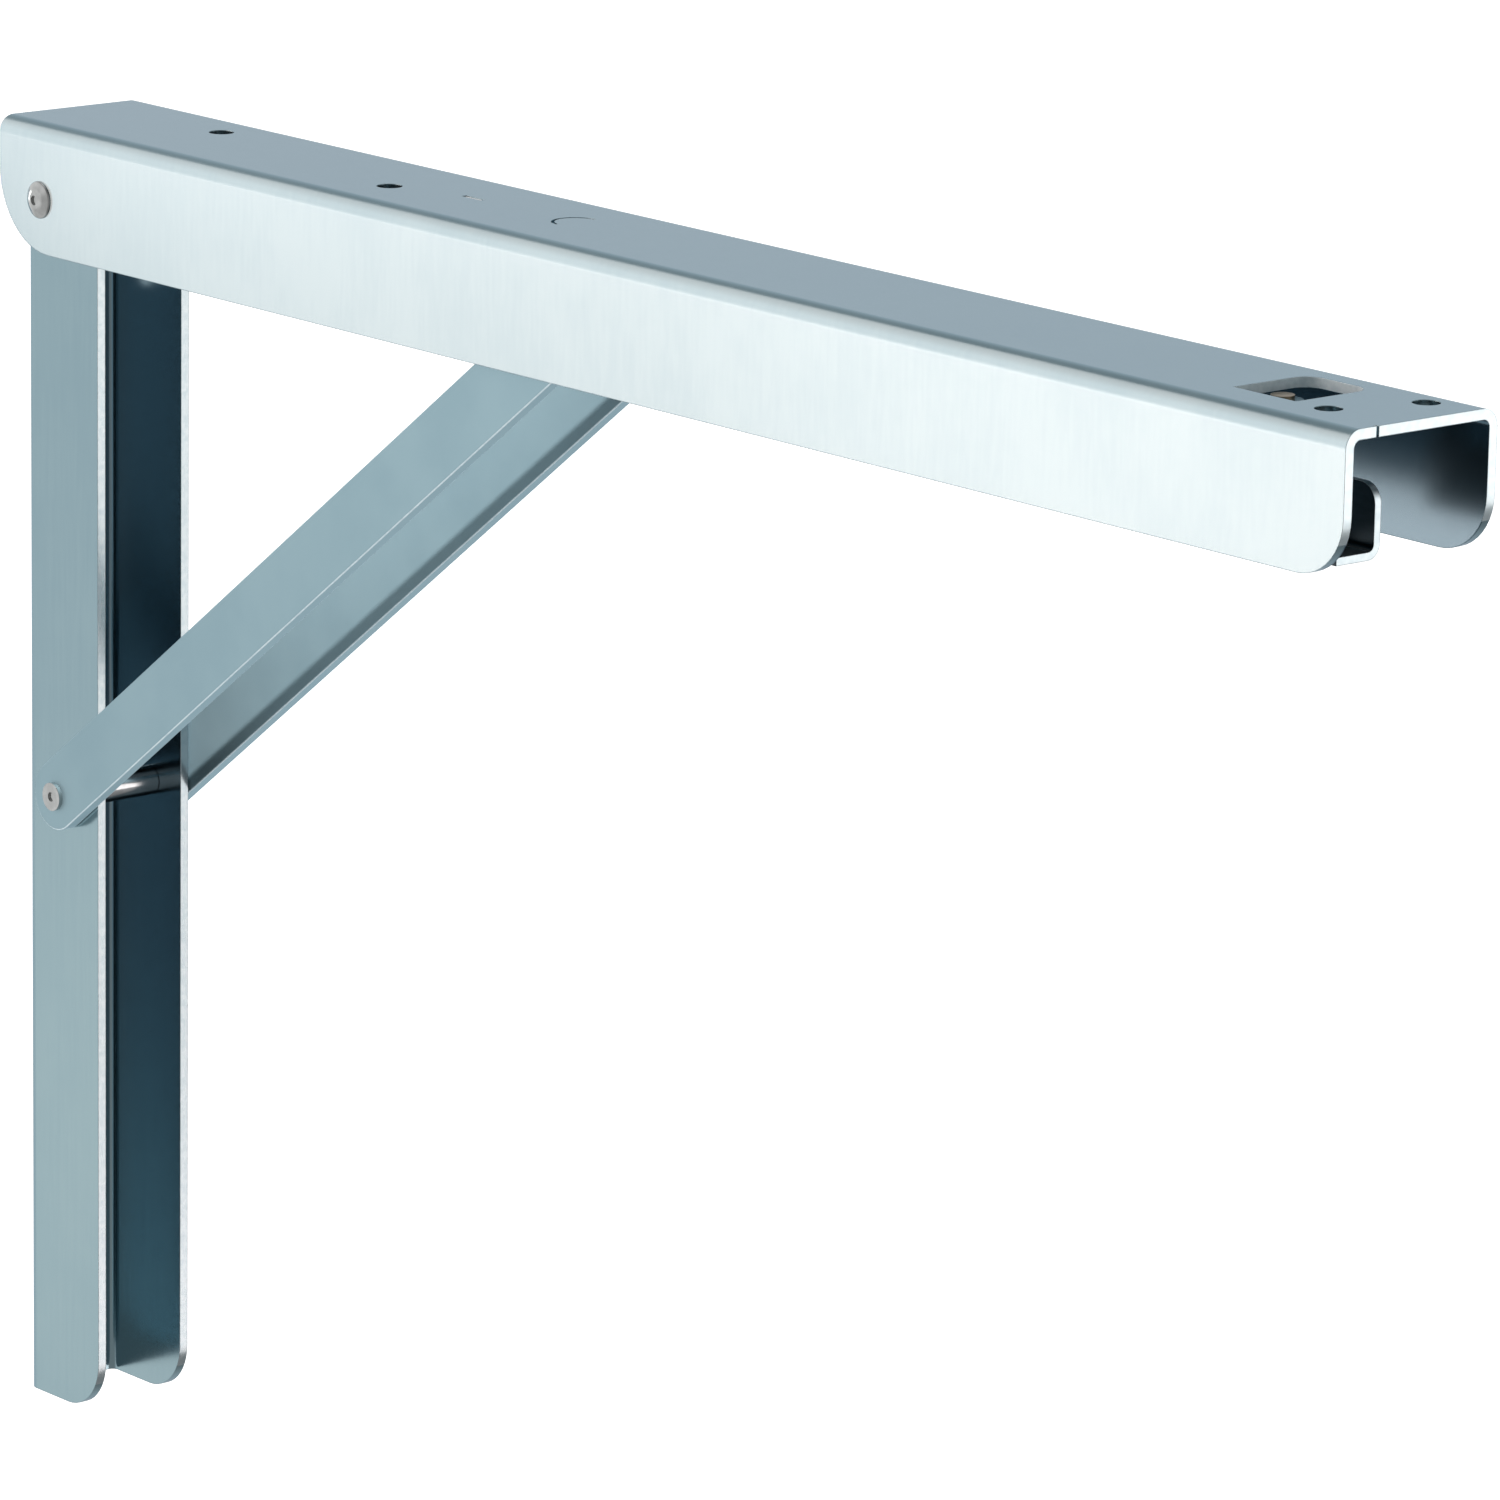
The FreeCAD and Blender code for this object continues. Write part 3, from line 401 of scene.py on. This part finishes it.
FINISHES = {
    "arm_zinc": zinc_sheet(
        "arm_zinc_plate",
        grain=(1.0, 1.0, 0.12),
        edges=arm_edges,
        gloss=0.18,
        hollow=arm_painted_shade_mask,
        painted_shade=ARM_PAINTED_SHADE,
        torn_edges=window_walls,
    ),
    "rail_zinc": zinc_sheet(
        "rail_zinc_plate",
        grain=(1.0, 1.0, 0.05),
        edges=rail_edges,
        gloss=0.14,
        hollow=rail_painted_shade_mask,
        painted_shade=RAIL_PAINTED_SHADE,
        tones=(RAIL_DEEP, RAIL_PALE),
        sheared=(RAIL_SHEARED_DARK, RAIL_SHEARED),
    ),
    # The strut's rounded lower corners take the edge colour as a painted highlight.
    "strut_zinc": zinc_sheet("strut_zinc_plate", grain=(0.1, 1.0, 0.1), edges=painted_highlight_corners, gloss=0.60),
    # The lever's near-black tones are painted shade.
    "lever_zinc": zinc_sheet(
        "lever_zinc_painted_shade",
        grain=(0.2, 1.0, 1.0),
        edges=flat_edges,
        gloss=0.24,
        tones=(LEVER_SHADE_DEEP, LEVER_SHADE_PALE),
    ),
    "rivet_steel": plain_metal(
        "rivet_nickel_grey",
        clean=(0.52, 0.53, 0.525, 1.0),
        stained=(0.42, 0.43, 0.425, 1.0),
        roughness=0.10,
    ),
    "turned_steel": plain_metal(
        "turned_steel",
        clean=(0.66, 0.67, 0.68, 1.0),
        stained=(0.52, 0.53, 0.54, 1.0),
        roughness=0.16,
    ),
    "pawl_steel": plain_metal(
        "hardened_pawl_steel",
        clean=(0.30, 0.31, 0.33, 1.0),
        stained=(0.22, 0.23, 0.25, 1.0),
        roughness=0.3,
    ),
    "spring_steel": plain_metal(
        "spring_wire",
        clean=(0.86, 0.88, 0.90, 1.0),
        stained=(0.74, 0.76, 0.78, 1.0),
        roughness=0.22,
    ),
    "lever_brass": plain_metal(
        "rivet_brass",
        clean=(0.29, 0.24, 0.17, 1.0),
        stained=(0.20, 0.165, 0.115, 1.0),
        roughness=0.30,
    ),
    "nylon": moulded_nylon("black_nylon", roughness=0.45),
}


def dress_nodes():
    """Every solid keeps its shape and takes its slot's finish."""
    for part in frame["record"]["subparts"]:
        mesh = nodes[part["node"]].data
        mesh.materials.clear()
        mesh.materials.append(FINISHES[part["material_slot"]])


def folded_foot():
    """Height of the arm's free end when it hangs down from its pivot."""
    joints = {joint["name"]: joint for joint in frame["record"]["behaviour"]["joints"]}
    pivot = Vector(joints["arm_fold"]["pos_m"])
    return pivot.z - (cad_high.x - pivot.x)


def floor_paint():
    """Pale floor that glows a little, so that it stays even."""
    paint = new_paint("pale_floor")
    speck = paint.noise(paint.place(), FLOOR_SCALE)
    sockets = {
        "Base Color": paint.blend(speck, FLOOR_DEEP, FLOOR_PALE),
        "Roughness": 0.9,
        "Specular IOR Level": 0.0,
        "Emission Color": FULL_WHITE,
        "Emission Strength": 0.9,
    }
    shader = paint.add("ShaderNodeBsdfPrincipled", {}, sockets)
    paint.add("ShaderNodeOutputMaterial", {}, {"Surface": shader})
    return paint.owner


def make_floor():
    """Floor low enough for the folded arm, which reaches below the rail's foot; no piece mirrors it."""
    level = min(cad_low.z, folded_foot()) - FLOOR_GAP
    signs = [(-1, -1), (1, -1), (1, 1), (-1, 1)]
    corners = [(x * FLOOR_HALF, y * FLOOR_HALF, level) for x, y in signs]
    mesh = bpy.data.meshes.new("studio_floor")
    mesh.from_pydata(corners, [], [(0, 1, 2, 3)])
    mesh.materials.append(floor_paint())
    floor = bpy.data.objects.new("studio_floor", mesh)
    bpy.context.scene.collection.objects.link(floor)
    floor.visible_glossy = False
    floor.visible_diffuse = False


def make_world():
    """White walls, dimmer in front of the arm, low down and high up, and brighter again straight above."""
    world = bpy.data.worlds.new("studio")
    bpy.context.scene.world = world
    paint = Paint(world)
    way = paint.add("ShaderNodeTexCoord", output="Generated")
    height = paint.part(way, "Z")
    low_dimming = 0.3 * (1.0 - height.rise(-0.6, -0.3))
    high_dimming = 0.6 * height.rise(0.25, 0.8)
    ceiling = 0.45 * height.rise(0.78, 0.95)
    wall = 1.0 - low_dimming - high_dimming + ceiling
    side = 1.0 - 0.65 * paint.part(way, "X").rise(-0.35, 0.35)
    least = 0.08
    strength = least + (1.0 - least) * wall * side
    background = paint.add("ShaderNodeBackground", {}, {"Color": FULL_WHITE, "Strength": strength})
    paint.add("ShaderNodeOutputWorld", {}, {"Surface": background})


def gathered(name, pieces):
    """Collection of CAD nodes for a lamp's flags."""
    group = bpy.data.collections.new(name)
    for piece in pieces:
        group.objects.link(nodes[piece])
    return group


def make_softbox(name, place, target, size, power, colour, lit=(), shading=()):
    """Soft rectangular lamp; it can be flagged off so that it reaches a few pieces only."""
    light = bpy.data.lights.new(name, "AREA")
    light.shape = "RECTANGLE"
    light.size, light.size_y = size
    light.energy = power
    light.color = colour
    lamp = bpy.data.objects.new(name, light)
    lamp.location = place
    lamp.rotation_mode = "QUATERNION"
    lamp.rotation_quaternion = (Vector(target) - Vector(place)).to_track_quat("-Z", "Y")
    lamp.visible_camera = False
    bpy.context.scene.collection.objects.link(lamp)
    if lit:
        lamp.light_linking.receiver_collection = gathered(f"{name}_lit", lit)
        lamp.light_linking.blocker_collection = gathered(f"{name}_shading", shading)


def light_arm():
    """Cards that the arm's side and bend mirror, and a lamp for the pivot's head."""
    flange_place, flange_target = (-0.10, -0.60, -0.02), (0.44, 0.0, 0.145)
    front_place, front_target = (0.20, -0.60, -0.02), (0.62, 0.0, 0.145)
    bend_place, bend_target = (-0.30, -0.47, 0.46), (0.32, 0.0, 0.155)
    rivet_place, rivet_target = (-0.76, -0.195, 0.10), (0.015, -0.02, 0.141)
    make_softbox("flange_card", flange_place, flange_target, CARD_SIZE, 1.2, FLANGE_LIGHT, ARM, ARM)
    make_softbox("front_card", front_place, front_target, CARD_SIZE, 0.54, FLANGE_LIGHT, ARM, ARM)
    make_softbox("bend_card", bend_place, bend_target, (0.99, 0.95), 4.2, BEND_LIGHT, ARM, ARM)
    make_softbox("rivet_lamp", rivet_place, rivet_target, (0.22, 0.22), 0.5, WHITE, PIVOT, PIVOT)


def light_strut():
    """Keys that throw the near bar's shadow on the far one, fills beside the rail, and light from below."""
    under_place, under_target = (-0.10, 0.30, -0.65), (0.10, 0.0, 0.07)
    make_softbox("strut_key", KEY_PLACE, KEY_TARGET, KEY_SIZE, 48.0, BAR_LIGHT, BOTH_BARS, NEAR_BAR)
    make_softbox("far_bar_key", KEY_PLACE, KEY_TARGET, KEY_SIZE, 13.0, BAR_LIGHT, FAR_BAR, NEAR_BAR)
    make_softbox("bar_fill", FILL_PLACE, FILL_TARGET, FILL_SIZE, 0.02, BAR_LIGHT, BOTH_BARS, SLEEVE)
    make_softbox("far_bar_fill", FILL_PLACE, FILL_TARGET, FILL_SIZE, 0.04, BAR_LIGHT, FAR_BAR, SLEEVE)
    make_softbox("strut_under", under_place, under_target, (1.4, 1.4), 7.0, WHITE, BOTH_BARS, NEAR_BAR)


def light_rail():
    """Cards for the lower half of the rail's near side and of its hollow, and a lamp for all front edges."""
    card_place, card_target = (-1.15, -0.85, -0.48), (0.013, 0.0, -0.06)
    hollow_place, hollow_target = (1.18, 0.84, -0.68), (0.0, 0.0, -0.12)
    edge_place, edge_target = (1.25, 0.95, 0.10), (0.20, 0.0, 0.02)
    make_softbox("rail_card", card_place, card_target, (0.36, 0.23), 0.07, RAIL_LIGHT, RAIL, RAIL)
    make_softbox("hollow_card", hollow_place, hollow_target, (0.50, 0.40), 1.35, HOLLOW_LIGHT, RAIL, RAIL)
    make_softbox("edge_light", edge_place, edge_target, (1.1, 1.1), 5.4, EDGE_LIGHT)


def make_camera():
    """Camera at the photographer's stand."""
    camera = bpy.data.objects.new("photo_camera", bpy.data.cameras.new("photo_camera"))
    camera.data.sensor_width = SENSOR
    camera.data.lens = CAMERA_LENS
    camera.data.clip_end = CAMERA_REACH
    level = Vector((math.cos(CAMERA_AZIMUTH), math.sin(CAMERA_AZIMUTH), 0.0))
    back = Vector(
        (
            math.sin(CAMERA_AZIMUTH) * math.cos(CAMERA_ELEVATION),
            -math.cos(CAMERA_AZIMUTH) * math.cos(CAMERA_ELEVATION),
            math.sin(CAMERA_ELEVATION),
        )
    )
    upright = back.cross(level)
    right = level * math.cos(CAMERA_ROLL) + upright * math.sin(CAMERA_ROLL)
    turn = Matrix((right, back.cross(right), back)).transposed().to_4x4()
    camera.matrix_world = Matrix.Translation(CAMERA_PLACE) @ turn
    bpy.context.scene.collection.objects.link(camera)
    bpy.context.scene.camera = camera


dress_nodes()
make_floor()
make_world()
light_arm()
light_strut()
light_rail()
make_camera()
bpy.context.scene.view_settings.view_transform = "Standard"
bpy.context.scene.view_settings.look = "None"
